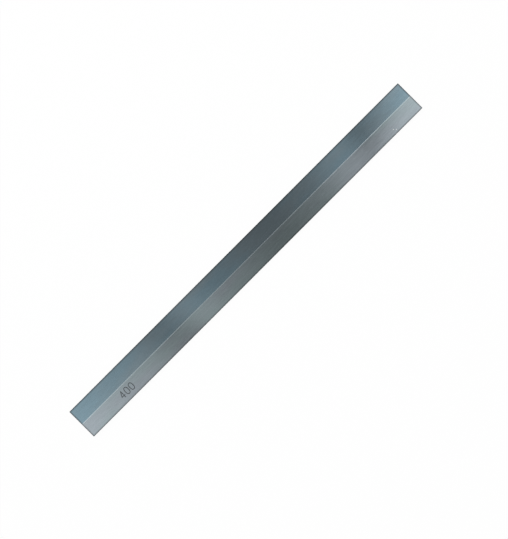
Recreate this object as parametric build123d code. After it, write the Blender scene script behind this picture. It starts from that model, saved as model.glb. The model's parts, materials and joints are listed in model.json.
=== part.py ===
from build123d import *
import math
import os

# A planer knife: the long flat blade that a wedge clamps into a planer's cutterblock.
# A steel body has a step milled along one side of its face, and a strip of hard metal
# is brazed into that step. The face, the bevel and the ends are ground after brazing,
# so the three metals share those surfaces and the joint shows only as a thin line.
#
# Millimetres. X runs along the knife, +Y points to the cutting edge, and +Z points up
# out of the face. The origin is the middle of the knife's outline, in the plane of the
# back, which is the flat that the knife lies on.

# The finished knife
knife_length = 400.0
knife_width = 30.0  # across the face, from the heel to the cutting edge
knife_thickness = 3.0

# The hard metal strip
strip_width = 15.2  # across the face, from the cutting edge to the braze
strip_thickness = 1.3
strip_corner_break = 0.25  # on the long corner that is buried in the braze

# The braze
seam_width = 0.4  # the line that shows on the face
bed_thickness = 0.2  # under the strip

# The step milled in the body
step_corner_radius = 0.4

# The ground edge
wedge_angle = 42.0  # degrees between the face and the bevel
land_extra_angle = 3.0  # degrees by which the narrow honed land is steeper
land_height = 0.35  # height of that land, measured down from the face

# Broken corners
heel_break = 0.25  # along the heel, at the face and at the back
end_break = 0.25  # round the ends

# How far a cutting zone reaches past the blank, so that no cut ends on a surface
overcut = 2.0

# Places that follow from the sizes
heel_y = -knife_width / 2
edge_y = knife_width / 2
strip_rear_y = edge_y - strip_width
strip_under_z = knife_thickness - strip_thickness
step_rear_y = strip_rear_y - seam_width
step_floor_z = strip_under_z - bed_thickness


def bevel_section():
    """The two corners that end the bevel and the honed land, from the back up."""
    land_run = land_height / math.tan(math.radians(wedge_angle + land_extra_angle))
    bevel_rise = knife_thickness - land_height
    bevel_run = bevel_rise / math.tan(math.radians(wedge_angle))
    return [
        (edge_y - land_run - bevel_run, 0),
        (edge_y - land_run, bevel_rise),
    ]


def cross_section():
    """The knife's outline seen from its end, with Y across and Z up."""
    outline = Polyline(
        (heel_y, heel_break),
        (heel_y + heel_break, 0),
        *bevel_section(),
        (edge_y, knife_thickness),
        (heel_y + heel_break, knife_thickness),
        (heel_y, knife_thickness - heel_break),
        close=True,
    )
    return make_face(outline)


def side_outline():
    """The knife's outline seen from its heel: all four corners of the ends are broken."""
    blank = Pos(0, knife_thickness / 2) * Rectangle(knife_length, knife_thickness)
    return chamfer(blank.vertices(), end_break)


def plan_outline():
    """The knife's outline seen from above: only the two corners at the heel are broken."""
    blank = Rectangle(knife_length, knife_width)
    heel_corners = blank.vertices().group_by(Axis.Y)[0]
    return chamfer(heel_corners, end_break)


def ground_knife():
    """The whole ground form, as the three views have it in common."""
    along = extrude(Plane.YZ * cross_section(), knife_length / 2 + overcut, both=True)
    across = extrude(Plane.XZ * side_outline(), knife_width / 2 + overcut, both=True)
    upward = extrude(plan_outline(), knife_thickness + overcut)
    return along & across & upward


def face_side_zone(rear_y, floor_z):
    """A section that takes in all of the knife above floor_z and in front of rear_y."""
    width = edge_y + overcut - rear_y
    height = knife_thickness + overcut - floor_z
    return Pos(rear_y, floor_z) * Rectangle(width, height, align=(Align.MIN, Align.MIN))


def inner_corner(section):
    """The corner of such a section that lies deepest in the knife."""
    return section.vertices().group_by(Axis.X)[0].sort_by(Axis.Y)[0]


def zone_solid(section):
    """Runs a section along the knife, past both ends."""
    return extrude(Plane.YZ * section, knife_length / 2 + overcut, both=True)


def strip_zone():
    """Where the strip is: its buried corner is broken so that it clears the step's radius."""
    section = face_side_zone(strip_rear_y, strip_under_z)
    return zone_solid(chamfer(inner_corner(section), strip_corner_break))


def step_zone():
    """What the step takes out of the body: the cutter leaves a radius in its corner."""
    section = face_side_zone(step_rear_y, step_floor_z)
    return zone_solid(fillet(inner_corner(section), step_corner_radius))


def knife_body(knife, step):
    """The steel that the wedge grips, with the heel, the back and the lower bevel."""
    return knife - step


def carbide_strip(knife, strip):
    """The hard metal strip, with the cutting edge, the land and the upper bevel."""
    return knife & strip


def braze_seam(knife, step, strip):
    """The braze fills the step behind and under the strip."""
    return (knife & step) - strip


def main():
    knife = ground_knife()
    step = step_zone()
    strip = strip_zone()
    pieces = {
        "knife_body": knife_body(knife, step),
        "carbide_strip": carbide_strip(knife, strip),
        "braze_seam": braze_seam(knife, step, strip),
    }
    os.makedirs("parts", exist_ok=True)
    for name, piece in pieces.items():
        export_step(piece, f"parts/{name}.step")
        print(name, round(piece.volume, 1), "mm3")


main()
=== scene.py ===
# %% [markdown]
# # A planer knife
#
# A planer knife is the long flat blade that a wedge clamps into the cutterblock of a
# planing machine. This one is three metals in one bar: a steel body, a strip of hard
# metal (tungsten carbide in cobalt) that carries the cutting edge, and the silver braze
# that joins them. The bar was ground after brazing, so all three share one flat face.
#
# The solids come from the CAD model and are right as they are. What is left for Blender
# is what the eye reads as metal: colour, the direction of the grinding lines, painted
# shade along the eased corners, a small engraved number, and above all something for the
# flat face to reflect. We start by loading the CAD frame and noting its size.

# %% Load the frame
import json
import math

import bmesh
import bpy
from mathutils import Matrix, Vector

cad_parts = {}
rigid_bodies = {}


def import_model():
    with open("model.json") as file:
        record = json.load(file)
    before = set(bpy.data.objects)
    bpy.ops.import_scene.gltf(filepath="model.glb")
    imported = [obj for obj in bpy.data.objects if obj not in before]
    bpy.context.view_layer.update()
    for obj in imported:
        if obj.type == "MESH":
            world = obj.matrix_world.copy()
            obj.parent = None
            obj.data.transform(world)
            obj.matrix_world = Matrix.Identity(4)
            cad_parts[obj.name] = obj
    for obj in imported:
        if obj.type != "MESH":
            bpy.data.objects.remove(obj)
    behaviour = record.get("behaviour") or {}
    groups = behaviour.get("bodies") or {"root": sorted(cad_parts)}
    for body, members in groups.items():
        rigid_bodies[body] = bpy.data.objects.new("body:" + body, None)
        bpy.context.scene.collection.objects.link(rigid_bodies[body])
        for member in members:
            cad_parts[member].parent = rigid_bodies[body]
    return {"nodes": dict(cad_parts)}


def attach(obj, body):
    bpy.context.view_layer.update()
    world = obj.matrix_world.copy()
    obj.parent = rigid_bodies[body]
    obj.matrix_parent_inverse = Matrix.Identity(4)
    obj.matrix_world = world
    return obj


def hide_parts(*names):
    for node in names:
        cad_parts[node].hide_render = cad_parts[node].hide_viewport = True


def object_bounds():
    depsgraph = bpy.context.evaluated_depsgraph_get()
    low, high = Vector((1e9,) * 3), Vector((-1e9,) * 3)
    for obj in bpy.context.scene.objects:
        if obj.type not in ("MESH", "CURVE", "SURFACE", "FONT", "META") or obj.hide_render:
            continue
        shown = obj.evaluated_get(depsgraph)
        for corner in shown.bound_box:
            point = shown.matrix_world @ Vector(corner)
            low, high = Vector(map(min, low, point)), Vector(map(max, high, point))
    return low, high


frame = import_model()
cad_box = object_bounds()
print("nodes:", sorted(frame["nodes"]))

# %% [markdown]
# ## Working units
#
# Blender counts in metres and so does the frame, but a knife is thought of in
# millimetres. One constant turns them round, and every size below is written as the
# real one. The main measures of the bar are read off the frame's own boxes, so that
# nothing here repeats a number that the CAD model already holds.

# %% Units and measures
MM = 0.001

low, high = cad_box
LENGTH = high.x - low.x
WIDTH = high.y - low.y
FACE_Z = high.z
measures = [round(size / MM, 2) for size in (LENGTH, WIDTH, FACE_Z)]
print("length, width, thickness in mm:", measures)

# %% [markdown]
# ## The camera
#
# The photograph looks straight down on the knife, which crosses the picture from the
# lower left to the upper right. A flat thing seen square-on shows no perspective, so
# the only things to settle are its scale, its place and its angle in the picture. All
# three follow from where the middles of the two ends lie in the picture, in pixels.
#
# The lens is a long one at a natural distance. The distance matters even here, because
# it sets how steeply the camera looks at each end, and so what the face reflects.

# %% Camera
PICTURE_WIDTH = 508
PICTURE_HEIGHT = 539
NEAR_END_PIXEL = Vector((81.6, 424.3))
FAR_END_PIXEL = Vector((410.2, 95.5))
CAMERA_HEIGHT = 1.2
SENSOR_MM = 36.0

knife_in_pixels = FAR_END_PIXEL - NEAR_END_PIXEL
metres_per_pixel = LENGTH / knife_in_pixels.length
knife_angle = math.atan2(-knife_in_pixels.y, knife_in_pixels.x)
picture_right = Vector((math.cos(knife_angle), -math.sin(knife_angle), 0))
picture_down = Vector((-math.sin(knife_angle), -math.cos(knife_angle), 0))
knife_pixel = (NEAR_END_PIXEL + FAR_END_PIXEL) / 2
from_knife = Vector((PICTURE_WIDTH / 2, PICTURE_HEIGHT / 2)) - knife_pixel

camera_data = bpy.data.cameras.new("camera")
camera_data.sensor_width = SENSOR_MM
camera_data.lens = SENSOR_MM * CAMERA_HEIGHT / (PICTURE_HEIGHT * metres_per_pixel)
camera = bpy.data.objects.new("camera", camera_data)
bpy.context.scene.collection.objects.link(camera)
camera.location = (
    picture_right * from_knife.x * metres_per_pixel
    + picture_down * from_knife.y * metres_per_pixel
    + Vector((0, 0, FACE_Z + CAMERA_HEIGHT))
)
camera.rotation_euler = (0, 0, -knife_angle)
bpy.context.scene.camera = camera
bpy.context.scene.view_settings.view_transform = "Standard"
print("scale:", round(metres_per_pixel / MM, 4), "mm a pixel")
print("lens:", round(camera_data.lens, 1), "mm")

# %% [markdown]
# ## Two small helpers
#
# Colours are written as the hex values that a colour picker shows. Shaders count in
# linear light, so one function turns the one into the other. A second function adds a
# node, sets its properties and fills its inputs, each with a value or with the socket
# that feeds it. Every material below is built with these two.

# %% Colour and node helpers
def linear(hex_colour):
    """An sRGB colour such as "#A4AEB3" as linear red, green, blue and alpha."""
    channels = [int(hex_colour[place : place + 2], 16) / 255 for place in (1, 3, 5)]
    return (*[c / 12.92 if c <= 0.04045 else ((c + 0.055) / 1.055) ** 2.4 for c in channels], 1)


def add_node(tree, kind, inputs=None, **settings):
    """Adds a node. Each input, named or counted, gets a value or the socket that feeds it."""
    node = tree.nodes.new(kind)
    for name, value in settings.items():
        setattr(node, name, value)
    for name, value in (inputs or {}).items():
        if isinstance(value, bpy.types.NodeSocket):
            tree.links.new(value, node.inputs[name])
        else:
            node.inputs[name].default_value = value
    return node


WHITE = linear("#FFFFFF")
print("a middle grey, #808080, is", round(linear("#808080")[0], 3), "in linear light")

# %% [markdown]
# One node needs a word more. The Mix node has its inputs and its result three times over,
# for a number, a vector and a colour, and they share their names. Only their count tells
# them apart, so each count gets a name here.

# %% Sockets of the Mix node
MIX_NUMBER_A = 2
MIX_NUMBER_B = 3
MIX_NUMBER_RESULT = 0
MIX_VECTOR_A = 4
MIX_VECTOR_B = 5
MIX_VECTOR_RESULT = 1
MIX_COLOUR_A = 6
MIX_COLOUR_B = 7
MIX_COLOUR_RESULT = 2

# %% [markdown]
# ## The paper
#
# The knife lies on white paper in even light. A plain white floor would come out a
# little grey and uneven, so most of the paper's white is a glow that is seen, by the
# camera and in reflections, but lights nothing, so it can't wash out the metal. The rest
# is ordinary paper, which takes the knife's faint shadow.

# %% Paper
FLOOR_SIZE = 6.0
PAPER_GLOW = 0.94


def flat_square(name, size, height, facing_up=True):
    """A staged square at a height above the table, centred under or over the knife."""
    signs = ((-1, -1), (1, -1), (1, 1), (-1, 1))
    corners = [(x * size / 2, y * size / 2, height) for x, y in signs]
    mesh = bpy.data.meshes.new(name)
    mesh.from_pydata(corners, [], [(0, 1, 2, 3) if facing_up else (3, 2, 1, 0)])
    square = bpy.data.objects.new(name, mesh)
    bpy.context.scene.collection.objects.link(square)
    return square


def empty_material(name):
    """A new material with nothing in its node tree."""
    material = bpy.data.materials.new(name)
    material.use_nodes = True
    material.node_tree.nodes.clear()
    return material


white_paper = empty_material("white_paper")
tree = white_paper.node_tree
lit = add_node(tree, "ShaderNodeBsdfDiffuse", {"Color": linear("#FDFDFD")})
glow = add_node(tree, "ShaderNodeEmission", {"Color": WHITE})
ray = add_node(tree, "ShaderNodeLightPath")
mirrored = add_node(tree, "ShaderNodeMath", {
    0: ray.outputs["Is Glossy Ray"], 1: ray.outputs["Is Transmission Ray"],
}, operation="MAXIMUM")
seen = add_node(tree, "ShaderNodeMath", {
    0: ray.outputs["Is Camera Ray"], 1: mirrored.outputs[0],
}, operation="MAXIMUM")
glow_share = add_node(tree, "ShaderNodeMath", {
    0: seen.outputs[0], 1: PAPER_GLOW,
}, operation="MULTIPLY")
both = add_node(tree, "ShaderNodeMixShader", {
    0: glow_share.outputs[0], 1: lit.outputs[0], 2: glow.outputs[0],
})
add_node(tree, "ShaderNodeOutputMaterial", {"Surface": both.outputs[0]})

paper = flat_square("paper", FLOOR_SIZE, 0)
paper.data.materials.append(white_paper)
print("paper:", FLOOR_SIZE, "m square")

# %% [markdown]
# ## The light
#
# The light is set to the plain level at which a colour renders as it is written. The
# world gives three quarters of it from all round, which is what makes the light soft,
# and one large lamp gives the rest, so that there is a shadow side. Anything that looks
# at the world in a reflection sees it as white.

# %% World and lamp
WORLD_SHARE = 0.75
LAMP_HEIGHT = 1.6
LAMP_SIZE = 1.2
LAMP_TO_LEFT = 0.5
LAMP_TO_TOP = 0.7
# A small lamp straight above gives the floor its power / (pi height)^2 of the plain level.
# This one is wide and stands to one side, so it needs about a third more.
LAMP_SPREAD = 1.35
LAMP_WATTS = (1 - WORLD_SHARE) * (math.pi * LAMP_HEIGHT) ** 2 * LAMP_SPREAD

world = bpy.data.worlds.new("studio")
bpy.context.scene.world = world
world.use_nodes = True
tree = world.node_tree
tree.nodes.clear()
ray = add_node(tree, "ShaderNodeLightPath")
level = add_node(tree, "ShaderNodeMix", {
    "Factor": ray.outputs["Is Diffuse Ray"], MIX_NUMBER_A: 1.0, MIX_NUMBER_B: WORLD_SHARE,
})
sky = add_node(tree, "ShaderNodeBackground", {
    "Color": WHITE, "Strength": level.outputs[MIX_NUMBER_RESULT],
})
add_node(tree, "ShaderNodeOutputWorld", {"Surface": sky.outputs[0]})

lamp_data = bpy.data.lights.new("soft_lamp", "AREA")
lamp_data.size = LAMP_SIZE
lamp_data.energy = LAMP_WATTS
lamp = bpy.data.objects.new("soft_lamp", lamp_data)
bpy.context.scene.collection.objects.link(lamp)
lamp.location = (
    picture_right * -LAMP_TO_LEFT
    + picture_down * -LAMP_TO_TOP
    + Vector((0, 0, LAMP_HEIGHT))
)
lamp.rotation_euler = (-lamp.location).to_track_quat("-Z", "Y").to_euler()
lamp.visible_camera = False
lamp.visible_glossy = False
print("lamp:", round(LAMP_WATTS, 1), "W")

# %% [markdown]
# ## What the face reflects
#
# A ground bar is a blurred mirror, so most of what we see on its face is the ceiling.
# In the photograph the face is light at both ends and dark a little right of the middle,
# where it looks back at the camera, with two soft light stripes between. The left stripe
# crosses the bar at a slant, and the right one nearly square.
#
# It would be easy to paint those tones on the metal, but they would stay there when the
# knife is turned. They belong to the studio, so here is a ceiling of light and dark
# bands, hung low above the knife. Only reflections can see it.
#
# The bands are a colour ramp along the knife. To set one, we need to know where on the
# knife its reflection is seen. The camera looks at the mirror image of the ceiling, which
# lies as far under the face as the ceiling hangs above it, so each band must lie further
# out than the point of the knife that shows it. A band leans when its place along the
# knife also depends, by some lean, on the place across it.

# %% Places on the ceiling
CEILING_HEIGHT = 0.13
CEILING_SIZE = 1.4
SPREAD = 1 + (CEILING_HEIGHT - FACE_Z) / CAMERA_HEIGHT

ceiling_bands = empty_material("ceiling_bands")
tree = ceiling_bands.node_tree
ceiling_point = add_node(tree, "ShaderNodeTexCoord").outputs["Object"]
ceiling_place = add_node(tree, "ShaderNodeSeparateXYZ", {0: ceiling_point})


def share_between(first, last, lean=0.0, interpolation="LINEAR"):
    """0 to 1 between two places in mm along the knife. Each mm across moves them by lean."""
    along = add_node(tree, "ShaderNodeMath", {
        0: ceiling_place.outputs["Y"], 1: lean, 2: ceiling_place.outputs["X"],
    }, operation="MULTIPLY_ADD")
    return add_node(tree, "ShaderNodeMapRange", {
        "Value": along.outputs[0],
        "From Min": first * MM * SPREAD,
        "From Max": last * MM * SPREAD,
    }, interpolation_type=interpolation).outputs[0]


print("a band lies", round(SPREAD, 3), "times as far out as its reflection")

# %% [markdown]
# The bands themselves are a list of stops, each a place along the knife and a
# brightness. They were set by laying the render over the photograph, and comparing the
# tone of each metal every few millimetres. Their lean fades out between two places.

# %% Bands
BAND_LEAN = 0.53
LEANING_UP_TO = -80  # mm along the knife
SQUARE_FROM = 100  # mm along the knife
BAND_REACH = 260  # mm from the middle of the knife to each end of the ramp
BANDS = [
    (-219, 0.94),
    (-130, 0.60),
    (-86, 0.27),
    (-60, 0.64),
    (-34, 0.38),
    (39, 0.21),
    (74, 0.28),
    (126, 0.55),
    (145, 0.10),
]


def set_stops(ramp_node, stops):
    """Gives a colour ramp its stops, each a place from 0 to 1 and a brightness."""
    elements = ramp_node.color_ramp.elements
    while len(elements) < len(stops):
        elements.new(0.5)
    for element, (position, grey) in zip(elements, stops):
        element.position = position
        element.color = (grey, grey, grey, 1)


lean_left = add_node(tree, "ShaderNodeMath", {
    0: share_between(SQUARE_FROM, LEANING_UP_TO), 1: BAND_LEAN,
}, operation="MULTIPLY")
band_place = share_between(-BAND_REACH, BAND_REACH, lean_left.outputs[0])
band_tone = add_node(tree, "ShaderNodeValToRGB", {"Fac": band_place})
band_tone.color_ramp.interpolation = "EASE"
set_stops(band_tone, [(0.5 + place / (2 * BAND_REACH), grey) for place, grey in BANDS])
print(len(BANDS), "stops in the bands")

# %% [markdown]
# At the upper right end the tones change differently: each metal gets lighter towards
# its own outer edge, and the steel does so sooner. Two white panels give that, one over
# each side of the knife, with soft edges that lean away from each other.

# %% White panels
PANEL_LEAN = 1.2
# The next four are in mm along the knife
STRIP_PANEL_START = 149
STRIP_PANEL_FULL = 262
BODY_PANEL_START = 133
BODY_PANEL_FULL = 205

strip_panel = share_between(STRIP_PANEL_START, STRIP_PANEL_FULL, PANEL_LEAN, "SMOOTHSTEP")
body_panel = share_between(BODY_PANEL_START, BODY_PANEL_FULL, -PANEL_LEAN, "SMOOTHSTEP")
panels = add_node(tree, "ShaderNodeMath", {0: strip_panel, 1: body_panel}, operation="MAXIMUM")
above_knife = add_node(tree, "ShaderNodeMix", {
    "Factor": panels.outputs[0], MIX_COLOUR_A: band_tone.outputs["Color"], MIX_COLOUR_B: WHITE,
}, data_type="RGBA").outputs[MIX_COLOUR_RESULT]

# %% [markdown]
# Seen from low down, the face looks past all of this, far out on the ceiling. White there
# would make a white knife on white paper, so the ceiling fades to an even grey, as the
# rest of a room does. The fade goes by the distance from the middle of the knife.

# %% The room beyond, and the ceiling itself
ROOM_FROM = 0.35
ROOM_FULL = 0.50
ROOM_GREY = "#B0B0B0"

distance = add_node(tree, "ShaderNodeVectorMath", {0: ceiling_point}, operation="LENGTH")
room_share = add_node(tree, "ShaderNodeMapRange", {
    "Value": distance.outputs["Value"], "From Min": ROOM_FROM, "From Max": ROOM_FULL,
}, interpolation_type="SMOOTHSTEP")
tone = add_node(tree, "ShaderNodeMix", {
    "Factor": room_share.outputs[0], MIX_COLOUR_A: above_knife, MIX_COLOUR_B: linear(ROOM_GREY),
}, data_type="RGBA").outputs[MIX_COLOUR_RESULT]
glow = add_node(tree, "ShaderNodeEmission", {"Color": tone})
add_node(tree, "ShaderNodeOutputMaterial", {"Surface": glow.outputs[0]})

ceiling = flat_square("ceiling", CEILING_SIZE, CEILING_HEIGHT, facing_up=False)
ceiling.data.materials.append(ceiling_bands)
ceiling.visible_camera = False
ceiling.visible_diffuse = False
ceiling.visible_transmission = False
ceiling.visible_shadow = False
print("ceiling:", CEILING_SIZE, "m square,", CEILING_HEIGHT, "m up")

# %% [markdown]
# ## Ground metal
#
# All three metals were ground together, with the wheel running along the bar, so they
# share one recipe and differ in colour and in how fine the lines are. The bevel was
# ground last, with a cup wheel whose lines run from the back up to the edge, and the
# two ends were ground across.
#
# The lines are too fine to model. A noise that is stretched along them does it, with its
# width set from the spacing of the lines. The direction has to turn on the bevel and on
# the ends, so the first thing to know at each point is whether it lies on one of those.
# The bevel is the only face that looks outwards and down, and the ends are the only ones
# that look along the knife, so a dot product with those directions finds them.

# %% Which way the lines run
BEVEL_DIRECTION = Vector((0, 1, -1)).normalized()
KNIFE_DIRECTION = Vector((1, 0, 0))
DIRECTION_MATCH = 0.9  # the cosine of about 26 degrees


def looking(tree, direction, either_way=False):
    """1 on the faces that look in a direction, or also straight against it, and 0 elsewhere."""
    normal = add_node(tree, "ShaderNodeNewGeometry").outputs["Normal"]
    match = add_node(tree, "ShaderNodeVectorMath", {
        0: normal, 1: direction,
    }, operation="DOT_PRODUCT").outputs["Value"]
    if either_way:
        match = add_node(tree, "ShaderNodeMath", {0: match}, operation="ABSOLUTE").outputs[0]
    return add_node(tree, "ShaderNodeMath", {
        0: match, 1: DIRECTION_MATCH,
    }, operation="GREATER_THAN").outputs[0]


# %% [markdown]
# The noise itself is the same everywhere. What turns is the stretch of the place at which
# it is read. Where a direction is divided by the length of a line the noise runs on, and
# where it is divided by the spacing it changes from line to line.

# %% The noise of the lines
LINE_LENGTH = 9 * MM
LINE_DETAIL = 5.0
LINE_BREAKUP = 0.65  # how strong the finer detail is


def line_noise(tree, place, bevel, spacing, seed):
    """A noise of fine lines: along the knife, up and down on the bevel, across on the ends."""
    coarse = 1 / LINE_LENGTH
    fine = 1 / spacing

    def stretched(scale):
        """The place, stretched so that the noise becomes lines."""
        return add_node(tree, "ShaderNodeMapping", {
            "Vector": place, "Location": (seed, seed, seed), "Scale": scale,
        }).outputs[0]

    turned = stretched((coarse, fine, fine))
    ends = looking(tree, KNIFE_DIRECTION, either_way=True)
    for share, scale in ((bevel, (fine, coarse, coarse)), (ends, (fine, coarse, fine))):
        turned = add_node(tree, "ShaderNodeMix", {
            "Factor": share, MIX_VECTOR_A: turned, MIX_VECTOR_B: stretched(scale),
        }, data_type="VECTOR").outputs[MIX_VECTOR_RESULT]
    return add_node(tree, "ShaderNodeTexNoise", {
        "Vector": turned, "Scale": 1.0, "Detail": LINE_DETAIL, "Roughness": LINE_BREAKUP,
    }).outputs["Fac"]


# %% [markdown]
# A ground face blurs its reflections more across the lines than along them. The shader
# calls this anisotropy, and needs the direction across the lines on each face. On the
# flat faces it lies in the face at a right angle to the knife's length, which is the
# cross product of the face's normal and the length. On the two ends that product
# vanishes, so a very small upward part is added, which takes over there and is right for
# them. On the bevel the direction is the length itself.

# %% Direction of the blur
UPWARD_PART = 0.001


def across_lines(tree, bevel):
    """The direction across the grinding lines, on whichever face is being shaded."""
    normal = add_node(tree, "ShaderNodeNewGeometry").outputs["Normal"]
    across = add_node(tree, "ShaderNodeVectorMath", {
        0: normal, 1: KNIFE_DIRECTION,
    }, operation="CROSS_PRODUCT")
    raised = add_node(tree, "ShaderNodeVectorMath", {
        0: across.outputs[0], 1: (0, 0, UPWARD_PART),
    })
    turned = add_node(tree, "ShaderNodeMix", {
        "Factor": bevel, MIX_VECTOR_A: raised.outputs[0], MIX_VECTOR_B: KNIFE_DIRECTION,
    }, data_type="VECTOR")
    return add_node(tree, "ShaderNodeVectorMath", {
        0: turned.outputs[MIX_VECTOR_RESULT],
    }, operation="NORMALIZE").outputs[0]


# %% [markdown]
# In the photograph a thin dark line follows every outer edge of the face. The corners
# were eased with a stone after grinding, so a narrow margin there faces another way. The
# line is painted shade: the colour is darkened on the eased corner and in a margin beside
# it. The margin needs the distance to the nearest edge. The knife is a box in plan, so
# that is the smaller of two differences, and no search over the mesh is needed.
#
# The same distance is nought all over the heel and the ends, which would turn them black.
# They are plain ground metal, so the painted shade is kept to what faces upwards, the face
# and its eased corners, and the sides get an even tone.

# %% Distance to the nearest edge
def edge_distance(tree, place, edges):
    """How far inside the nearest outer edge a point lies. edges says how far from the middle,
    in metres, each edge lies: {"X": 0.2, "-Y": 0.015} is both ends and the heel."""
    parts = add_node(tree, "ShaderNodeSeparateXYZ", {0: place})
    nearest = None
    for axis, reach in edges.items():
        coordinate = parts.outputs[axis.strip("+-")]
        if axis == "X":
            coordinate = add_node(tree, "ShaderNodeMath", {
                0: coordinate,
            }, operation="ABSOLUTE").outputs[0]
        distance = add_node(tree, "ShaderNodeMath", {
            0: coordinate, 1: 1.0 if axis.startswith("-") else -1.0, 2: reach,
        }, operation="MULTIPLY_ADD").outputs[0]
        if nearest is not None:
            distance = add_node(tree, "ShaderNodeMath", {
                0: nearest, 1: distance,
            }, operation="MINIMUM").outputs[0]
        nearest = distance
    return nearest


# %% [markdown]
# A colour ramp turns that distance into painted shade: very dark on the eased corner, less
# dark in the margin beside it, and none from there on inwards.

# %% Painted dark margins
CORNER_WIDTH = 0.4 * MM
CORNER_SHADE = 0.15
MARGIN_START = 1.3 * CORNER_WIDTH
MARGIN_WIDTH = 1.45 * MM
MARGIN_SOFTNESS = 0.5 * MM
SIDE_SHADE = 0.85
FACING_UP = 0.5


# Painted shade: the face's colour is darkened along its outer edges.
def margin_tone(tree, place, edges, shade):
    """The painted shade near the face's outer edges: how much darker it is, from the eased
    corner inwards.
    """
    reach = 2 * MARGIN_WIDTH
    share = add_node(tree, "ShaderNodeMapRange", {
        "Value": edge_distance(tree, place, edges), "From Max": reach,
    })
    ramp = add_node(tree, "ShaderNodeValToRGB", {"Fac": share.outputs[0]})
    set_stops(ramp, [
        (0, CORNER_SHADE),
        (CORNER_WIDTH / reach, CORNER_SHADE),
        (MARGIN_START / reach, shade),
        ((MARGIN_WIDTH - MARGIN_SOFTNESS) / reach, shade),
        (MARGIN_WIDTH / reach, 1.0),
    ])
    normal = add_node(tree, "ShaderNodeNewGeometry").outputs["Normal"]
    normal_parts = add_node(tree, "ShaderNodeSeparateXYZ", {0: normal})
    on_face = add_node(tree, "ShaderNodeMath", {
        0: normal_parts.outputs["Z"], 1: FACING_UP,
    }, operation="GREATER_THAN")
    return add_node(tree, "ShaderNodeMix", {
        "Factor": on_face.outputs[0],
        MIX_NUMBER_A: SIDE_SHADE,
        MIX_NUMBER_B: ramp.outputs["Color"],
    }).outputs[MIX_NUMBER_RESULT]


# %% [markdown]
# A ground bar is wiped with oil against rust. The film is thinner here and thicker there,
# which shows as two near tints in long soft clouds. They are about as large as those in
# the photograph, and a few times as long as they are wide.

# %% Clouds of oil
CLOUD_LENGTH = 80 * MM
CLOUD_WIDTH = 24 * MM
CLOUD_DETAIL = 3.0
CLOUD_RANGE = (0.35, 0.65)  # of the noise, from all one tint to all the other


def clouded(tree, place, tints, seed):
    """A mix of two tints in long soft clouds."""
    stretched = add_node(tree, "ShaderNodeMapping", {
        "Vector": place,
        "Location": (seed, 0, 0),
        "Scale": (1 / CLOUD_LENGTH, 1 / CLOUD_WIDTH, 1 / CLOUD_WIDTH),
    })
    clouds = add_node(tree, "ShaderNodeTexNoise", {
        "Vector": stretched.outputs[0], "Scale": 1.0, "Detail": CLOUD_DETAIL,
    })
    share = add_node(tree, "ShaderNodeMapRange", {
        "Value": clouds.outputs["Fac"], "From Min": CLOUD_RANGE[0], "From Max": CLOUD_RANGE[1],
    }, interpolation_type="SMOOTHSTEP")
    return add_node(tree, "ShaderNodeMix", {
        "Factor": share.outputs[0],
        MIX_COLOUR_A: linear(tints[0]),
        MIX_COLOUR_B: linear(tints[1]),
    }, data_type="RGBA").outputs[MIX_COLOUR_RESULT]


# %% [markdown]
# Now the recipe itself. Its colour is that of the clouds, then a little lighter and darker
# from line to line, then darker in the margins, where shade is painted. The lines also
# shift the roughness and stand up by about a thousandth of a millimetre, which is enough
# to break up a sharp reflection.
#
# Where the film of oil is thicker, it has a faint sheen of its own, without colour. A
# rough coat over the metal gives that, and it takes some blue out of the darkest parts.

# %% The recipe
LINE_RANGE = (0.3, 0.7)  # of the noise, where nearly all of its values lie
LINE_HEIGHT = 0.002 * MM
LINE_RELIEF = 0.5  # the share of that height which shows
ROUGHNESS_SHIFT = 0.02
ANISOTROPY = 0.4
OIL_ROUGHNESS = 0.5


def shifted(tree, lines, middle, shift):
    """A value that the lines move up and down, by at most shift, around its middle."""
    return add_node(tree, "ShaderNodeMapRange", {
        "Value": lines, "From Min": LINE_RANGE[0], "From Max": LINE_RANGE[1],
        "To Min": middle - shift, "To Max": middle + shift,
    }).outputs[0]


def ground_metal(
    name, tints, roughness, line_spacing, line_contrast, seed, edges, painted_shade_at_edges, oil=0.0
):
    """A ground metal with painted shade in margins at the edges given, under a share of oil
    from 0 to 1.
    """
    material = empty_material(name)
    tree = material.node_tree
    place = add_node(tree, "ShaderNodeTexCoord").outputs["Object"]
    bevel = looking(tree, BEVEL_DIRECTION)
    lines = line_noise(tree, place, bevel, line_spacing, seed)
    lined = add_node(tree, "ShaderNodeVectorMath", {
        0: clouded(tree, place, tints, seed), "Scale": shifted(tree, lines, 1, line_contrast),
    }, operation="SCALE")
    # Painted shade: the colour is darkened in the margins at the edges.
    colour = add_node(tree, "ShaderNodeVectorMath", {
        0: lined.outputs[0], "Scale": margin_tone(tree, place, edges, painted_shade_at_edges),
    }, operation="SCALE")
    bump = add_node(tree, "ShaderNodeBump", {
        "Height": lines, "Distance": LINE_HEIGHT, "Strength": LINE_RELIEF,
    })
    shader = add_node(tree, "ShaderNodeBsdfPrincipled", {
        "Base Color": colour.outputs[0],
        "Metallic": 1.0,
        "Roughness": shifted(tree, lines, roughness, ROUGHNESS_SHIFT),
        "Anisotropic": ANISOTROPY,
        "Coat Weight": oil,
        "Coat Roughness": OIL_ROUGHNESS,
        "Normal": bump.outputs[0],
        "Tangent": across_lines(tree, bevel),
    })
    add_node(tree, "ShaderNodeOutputMaterial", {"Surface": shader.outputs[0]})
    return material


# %% [markdown]
# ## The three metals
#
# The photograph tells them apart by colour alone. The steel body is a light neutral
# grey. Hard metal is darker and clearly bluer, and takes a finer finish. The braze is
# mostly silver, so it is the lightest of the three, and it is soft, so it is the
# roughest: it shows as a thin pale line.
#
# Real lines are about 0.05 mm apart. That is far below a pixel, where they would
# average out to nothing, so they are drawn as wide as they need to show. Each metal's
# seed was picked so that its clouds fall about where the photograph has them.

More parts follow.
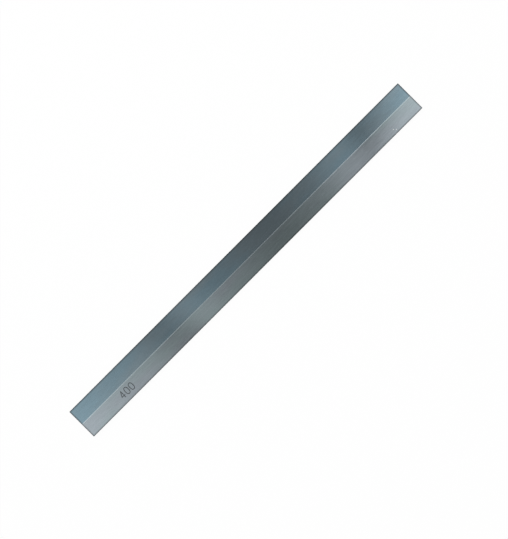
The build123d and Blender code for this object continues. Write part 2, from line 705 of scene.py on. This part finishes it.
# %% Steel, hard metal and braze
# Surface ground tool steel: satin, with soft lengthwise lines and hardly any colour
tool_steel = ground_metal(
    "ground_tool_steel", ("#AAB4BB", "#A5B5B8"),
    roughness=0.25, line_spacing=0.9 * MM, line_contrast=0.08, seed=223.0,
    edges={"X": LENGTH / 2, "-Y": WIDTH / 2}, painted_shade_at_edges=0.72,
)
# Diamond ground tungsten carbide: dark blue grey, with finer lines, under more oil
tungsten_carbide = ground_metal(
    "ground_tungsten_carbide", ("#829EAB", "#8B9EA7"),
    roughness=0.25, line_spacing=0.8 * MM, line_contrast=0.08, seed=181.0,
    edges={"X": LENGTH / 2, "+Y": WIDTH / 2}, painted_shade_at_edges=0.56, oil=0.9,
)
# Ground silver braze: a pale line that stays light where the metals beside it go dark
silver_braze = ground_metal(
    "ground_silver_braze", ("#D6E6E9", "#DCE7EF"),
    roughness=0.45, line_spacing=0.8 * MM, line_contrast=0.08, seed=17.0,
    edges={"X": LENGTH / 2}, painted_shade_at_edges=0.72,
)
finishes = {
    "knife_body": tool_steel,
    "carbide_strip": tungsten_carbide,
    "braze_seam": silver_braze,
}
for node, finish in finishes.items():
    slots = frame["nodes"][node].data.materials
    slots.clear()
    slots.append(finish)
    print(node, "is", finish.name)

# %% [markdown]
# ## The engraved number
#
# Such knives carry a small mark near one end of the steel. Here it is the knife's
# length in millimetres, in plain figures. Painted figures would look flat from close
# by, so they are cut. An engraving machine drags a round-nosed cutter along a path, and
# we do just that: draw each figure as strokes, sweep a round tool along them, and take
# the result away from the steel.
#
# A figure is a few strokes in a box that is one unit wide and high. The four is three
# straight strokes. The nought is a rounded oval, which a formula gives.

# %% Strokes of the figures
OVAL_POINTS = 40
OVAL_SQUARENESS = 0.8  # 1 is an ellipse, and less is squarer


def oval():
    """The closed stroke of a nought."""
    points = []
    for step in range(OVAL_POINTS):
        angle = 2 * math.pi * step / OVAL_POINTS
        across = math.copysign(abs(math.cos(angle)) ** OVAL_SQUARENESS, math.cos(angle))
        upward = math.copysign(abs(math.sin(angle)) ** OVAL_SQUARENESS, math.sin(angle))
        points.append((0.5 + across / 2, 0.5 + upward / 2))
    return points + points[:1]


FIGURES = {
    "4": [[(0.7, 1), (0, 0.3)], [(0, 0.3), (1, 0.3)], [(0.7, 1), (0.7, 0)]],
    "0": [oval()],
}
NUMBER = str(round(LENGTH / MM))
print("number:", NUMBER)

# %% [markdown]
# The strokes are laid out on the steel, near one end and with their feet to the heel. They
# are half as high as the steel is wide.

# %% Strokes of the number
GROOVE_WIDTH = 0.65 * MM
GROOVE_DEPTH = 0.25 * MM
NUMBER_WIDTH = 15.0 * MM
NUMBER_HEIGHT = 7.1 * MM
FIGURE_GAP = 1.1 * MM
NUMBER_FROM_END = 48.2 * MM  # to its middle
NUMBER_FROM_HEEL = 8.0 * MM  # to its middle

figure_pitch = (NUMBER_WIDTH + FIGURE_GAP) / len(NUMBER)
stroke_width = figure_pitch - FIGURE_GAP - GROOVE_WIDTH
stroke_height = NUMBER_HEIGHT - GROOVE_WIDTH
left = low.x + NUMBER_FROM_END - (NUMBER_WIDTH - GROOVE_WIDTH) / 2
bottom = low.y + NUMBER_FROM_HEEL - stroke_height / 2

number_strokes = []
for count, figure in enumerate(NUMBER):
    start = left + count * figure_pitch
    for stroke in FIGURES[figure]:
        number_strokes.append(
            [(start + x * stroke_width, bottom + y * stroke_height) for x, y in stroke]
        )
print(len(number_strokes), "strokes")

# %% [markdown]
# Near the other end of the steel, close to the heel, the photograph shows two tiny bright
# nicks. Something hard has knocked the finished face there. A nick is a very short stroke
# of a blunt tool, so it can be cut in the same way. Its place is that of its pixel,
# measured from the middle of the knife in the picture, along it and across it.

# %% Strokes of the nicks
NICK_PIXELS = [Vector((393.5, 129.5)), Vector((396.5, 129.5))]
NICK_LENGTH = 0.3 * MM
NICK_WIDTH = 0.75 * MM
NICK_DEPTH = 0.06 * MM

along_knife = knife_in_pixels.normalized()
nick_strokes = []
for pixel in NICK_PIXELS:
    from_middle = (pixel - knife_pixel) * metres_per_pixel
    x = from_middle.dot(along_knife)
    y = from_middle.cross(along_knife)
    nick_strokes.append([(x - NICK_LENGTH / 2, y), (x + NICK_LENGTH / 2, y)])
print("nicks in mm:", [[round(part / MM, 1) for part in stroke[0]] for stroke in nick_strokes])

# %% [markdown]
# The tool is a Geometry Nodes tree. It lifts the path to the height at which the round
# nose reaches the right depth, sweeps a circle along it, and puts a ball on both ends of
# each stroke, where the cutter goes in and comes out. Its sizes are inputs with names, so
# that one tree cuts both the number and the nicks.

# %% The engraving tool
NOSE_SIDES = 24
BALL_SUBDIVISIONS = 3


def engraving_tool():
    """A tree that turns strokes into the space that a round-nosed cutter clears."""
    tree = bpy.data.node_groups.new("engraving_tool", "GeometryNodeTree")
    tree.interface.new_socket("Strokes", in_out="INPUT", socket_type="NodeSocketGeometry")
    for name in ("Nose Radius", "Depth", "Face Height"):
        tree.interface.new_socket(name, in_out="INPUT", socket_type="NodeSocketFloat")
    tree.interface.new_socket("Finish", in_out="INPUT", socket_type="NodeSocketMaterial")
    tree.interface.new_socket("Cutter", in_out="OUTPUT", socket_type="NodeSocketGeometry")
    given = add_node(tree, "NodeGroupInput").outputs

    above = add_node(tree, "ShaderNodeMath", {
        0: given["Nose Radius"], 1: given["Depth"],
    }, operation="SUBTRACT")
    height = add_node(tree, "ShaderNodeMath", {0: above.outputs[0], 1: given["Face Height"]})
    lift = add_node(tree, "ShaderNodeCombineXYZ", {"Z": height.outputs[0]})
    raised = add_node(tree, "GeometryNodeSetPosition", {
        "Geometry": given["Strokes"], "Offset": lift.outputs[0],
    })

    nose = add_node(tree, "GeometryNodeCurvePrimitiveCircle", {
        "Resolution": NOSE_SIDES, "Radius": given["Nose Radius"],
    })
    swept = add_node(tree, "GeometryNodeCurveToMesh", {
        "Curve": raised.outputs[0], "Profile Curve": nose.outputs[0], "Fill Caps": True,
    })
    ball = add_node(tree, "GeometryNodeMeshIcoSphere", {
        "Radius": given["Nose Radius"], "Subdivisions": BALL_SUBDIVISIONS,
    })
    stroke_ends = add_node(tree, "GeometryNodeCurveEndpointSelection", {
        "Start Size": 1, "End Size": 1,
    })
    balls = add_node(tree, "GeometryNodeInstanceOnPoints", {
        "Points": raised.outputs[0],
        "Selection": stroke_ends.outputs[0],
        "Instance": ball.outputs["Mesh"],
    })

    joined = add_node(tree, "GeometryNodeJoinGeometry")
    tree.links.new(swept.outputs[0], joined.inputs[0])
    tree.links.new(balls.outputs[0], joined.inputs[0])
    real = add_node(tree, "GeometryNodeRealizeInstances", {"Geometry": joined.outputs[0]})
    finished = add_node(tree, "GeometryNodeSetMaterial", {
        "Geometry": real.outputs[0], "Material": given["Finish"],
    })
    add_node(tree, "NodeGroupOutput", {"Cutter": finished.outputs[0]})
    return tree


# %% [markdown]
# Both cuts are rougher than the ground face, with a fine grain from the tool. The groove
# is coloured dark, and only half of what it shows is metal. The nicks are cut as shallow
# dents, and their colour carries a painted glint: near white, far lighter than the steel,
# the brightest thing here.

# %% Finishes of the cuts
GRAIN = 0.15 * MM
GRAIN_DETAIL = 2.0
GRAIN_HEIGHT = 0.02 * MM
GRAIN_RELIEF = 0.4  # the share of that height which shows


def cut_metal(name, tints, metallic, roughness):
    """The grained surface that a tool leaves where it has cut or knocked the metal."""
    material = empty_material(name)
    tree = material.node_tree
    place = add_node(tree, "ShaderNodeTexCoord").outputs["Object"]
    grain = add_node(tree, "ShaderNodeTexNoise", {
        "Vector": place, "Scale": 1 / GRAIN, "Detail": GRAIN_DETAIL,
    }).outputs["Fac"]
    tone = add_node(tree, "ShaderNodeMix", {
        "Factor": grain, MIX_COLOUR_A: linear(tints[0]), MIX_COLOUR_B: linear(tints[1]),
    }, data_type="RGBA")
    bump = add_node(tree, "ShaderNodeBump", {
        "Height": grain, "Distance": GRAIN_HEIGHT, "Strength": GRAIN_RELIEF,
    })
    shader = add_node(tree, "ShaderNodeBsdfPrincipled", {
        "Base Color": tone.outputs[MIX_COLOUR_RESULT],
        "Metallic": metallic,
        "Roughness": roughness,
        "Normal": bump.outputs[0],
    })
    add_node(tree, "ShaderNodeOutputMaterial", {"Surface": shader.outputs[0]})
    return material


dark_groove = cut_metal(
    "dark_groove", ("#454A4D", "#64696C"), metallic=0.5, roughness=0.5
)
# Painted glint: the nicks' colour is near white, far lighter than the steel around them.
painted_glint_nick = cut_metal(
    "painted_glint_nick", ("#E9EDEE", "#FAFBFB"), metallic=1.0, roughness=0.3
)
print("finishes of the cuts:", dark_groove.name, "and", painted_glint_nick.name)

# %% [markdown]
# The tree is put on a path as a modifier, and the evaluated result is turned into a plain
# mesh. The path is a curve with a straight-segment spline for each stroke. The radius of
# the nose follows from the width and the depth of the cut. It is the long side of a right
# triangle, whose other sides are half the width, and the radius less the depth.

# %% Sweep the cutters
tool = engraving_tool()


def plain_mesh(scene_object, name):
    """The evaluated shape of an object, modifiers and all, as an ordinary mesh."""
    graph = bpy.context.evaluated_depsgraph_get()
    mesh = bpy.data.meshes.new_from_object(scene_object.evaluated_get(graph))
    mesh.name = name
    return mesh


def linked_object(name, data):
    """A new object in the scene, for a mesh or a curve that is already in place."""
    scene_object = bpy.data.objects.new(name, data)
    bpy.context.scene.collection.objects.link(scene_object)
    return scene_object


def swept_cutter(name, strokes, width, depth, finish):
    """What a round-nosed tool clears along the strokes, as an object to cut with."""
    path = bpy.data.curves.new(name + "_path", "CURVE")
    path.dimensions = "3D"
    for stroke in strokes:
        spline = path.splines.new("POLY")
        spline.points.add(len(stroke) - 1)
        for point, (x, y) in zip(spline.points, stroke):
            point.co = (x, y, 0, 1)
    path_object = linked_object(name + "_path", path)
    sweep = path_object.modifiers.new("sweep", "NODES")
    sweep.node_group = tool
    values = {
        "Nose Radius": ((width / 2) ** 2 + depth**2) / (2 * depth),
        "Depth": depth,
        "Face Height": FACE_Z,
        "Finish": finish,
    }
    for socket in tool.interface.items_tree:
        if socket.name in values:
            sweep[socket.identifier] = values[socket.name]
    cutter = linked_object(name, plain_mesh(path_object, name))
    bpy.data.objects.remove(path_object)
    print(name, "has", len(cutter.data.polygons), "faces")
    return cutter


cutters = [
    swept_cutter("number_cutter", number_strokes, GROOVE_WIDTH, GROOVE_DEPTH, dark_groove),
    swept_cutter("nick_cutter", nick_strokes, NICK_WIDTH, NICK_DEPTH, painted_glint_nick),
]

# %% [markdown]
# The CAD body itself is never changed, so the cut is made in a copy, which then stands
# for it. A CAD mesh is loose triangles with shading directions of their own. A boolean
# needs a closed shell and would smear those directions over the new faces, so the copy
# drops them and has its doubles merged. Each cut takes its cutter's finish with it, and
# leaves a few slivers where strokes cross, which the same merging takes away. Last, every
# edge that turns by more than 12 degrees is marked sharp, so that the flat face stays
# flat around the shallow nicks, while the grooves stay round.

# %% Cut the number and the nicks
SHARP = math.radians(12)
WELD = 0.0002 * MM  # points nearer than this are one


def weld(mesh):
    """Merges the doubles of a mesh, and counts the edges that are open after that."""
    shell = bmesh.new()
    shell.from_mesh(mesh)
    bmesh.ops.remove_doubles(shell, verts=shell.verts, dist=WELD)
    open_edges = sum(1 for edge in shell.edges if len(edge.link_faces) != 2)
    shell.to_mesh(mesh)
    shell.free()
    return open_edges


blank = frame["nodes"]["knife_body"].data.copy()
if "custom_normal" in blank.attributes:
    blank.attributes.remove(blank.attributes["custom_normal"])
print("open edges in the blank:", weld(blank))

blank_object = linked_object("blank", blank)
for cutter in cutters:
    cut = blank_object.modifiers.new(cutter.name, "BOOLEAN")
    cut.operation = "DIFFERENCE"
    cut.solver = "EXACT"
    cut.use_self = True
    cut.material_mode = "TRANSFER"
    cut.object = cutter
engraved = plain_mesh(blank_object, "engraved_body")
print("open edges in the engraved body:", weld(engraved))
for spent in (blank_object, *cutters):
    bpy.data.objects.remove(spent)

engraved.shade_smooth()
engraved.set_sharp_from_angle(angle=SHARP)
engraved_body = linked_object("engraved_body", engraved)
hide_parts("knife_body")
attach(engraved_body, "root")
print("finishes:", [finish.name for finish in engraved.materials])
print("faces:", len(engraved.polygons))
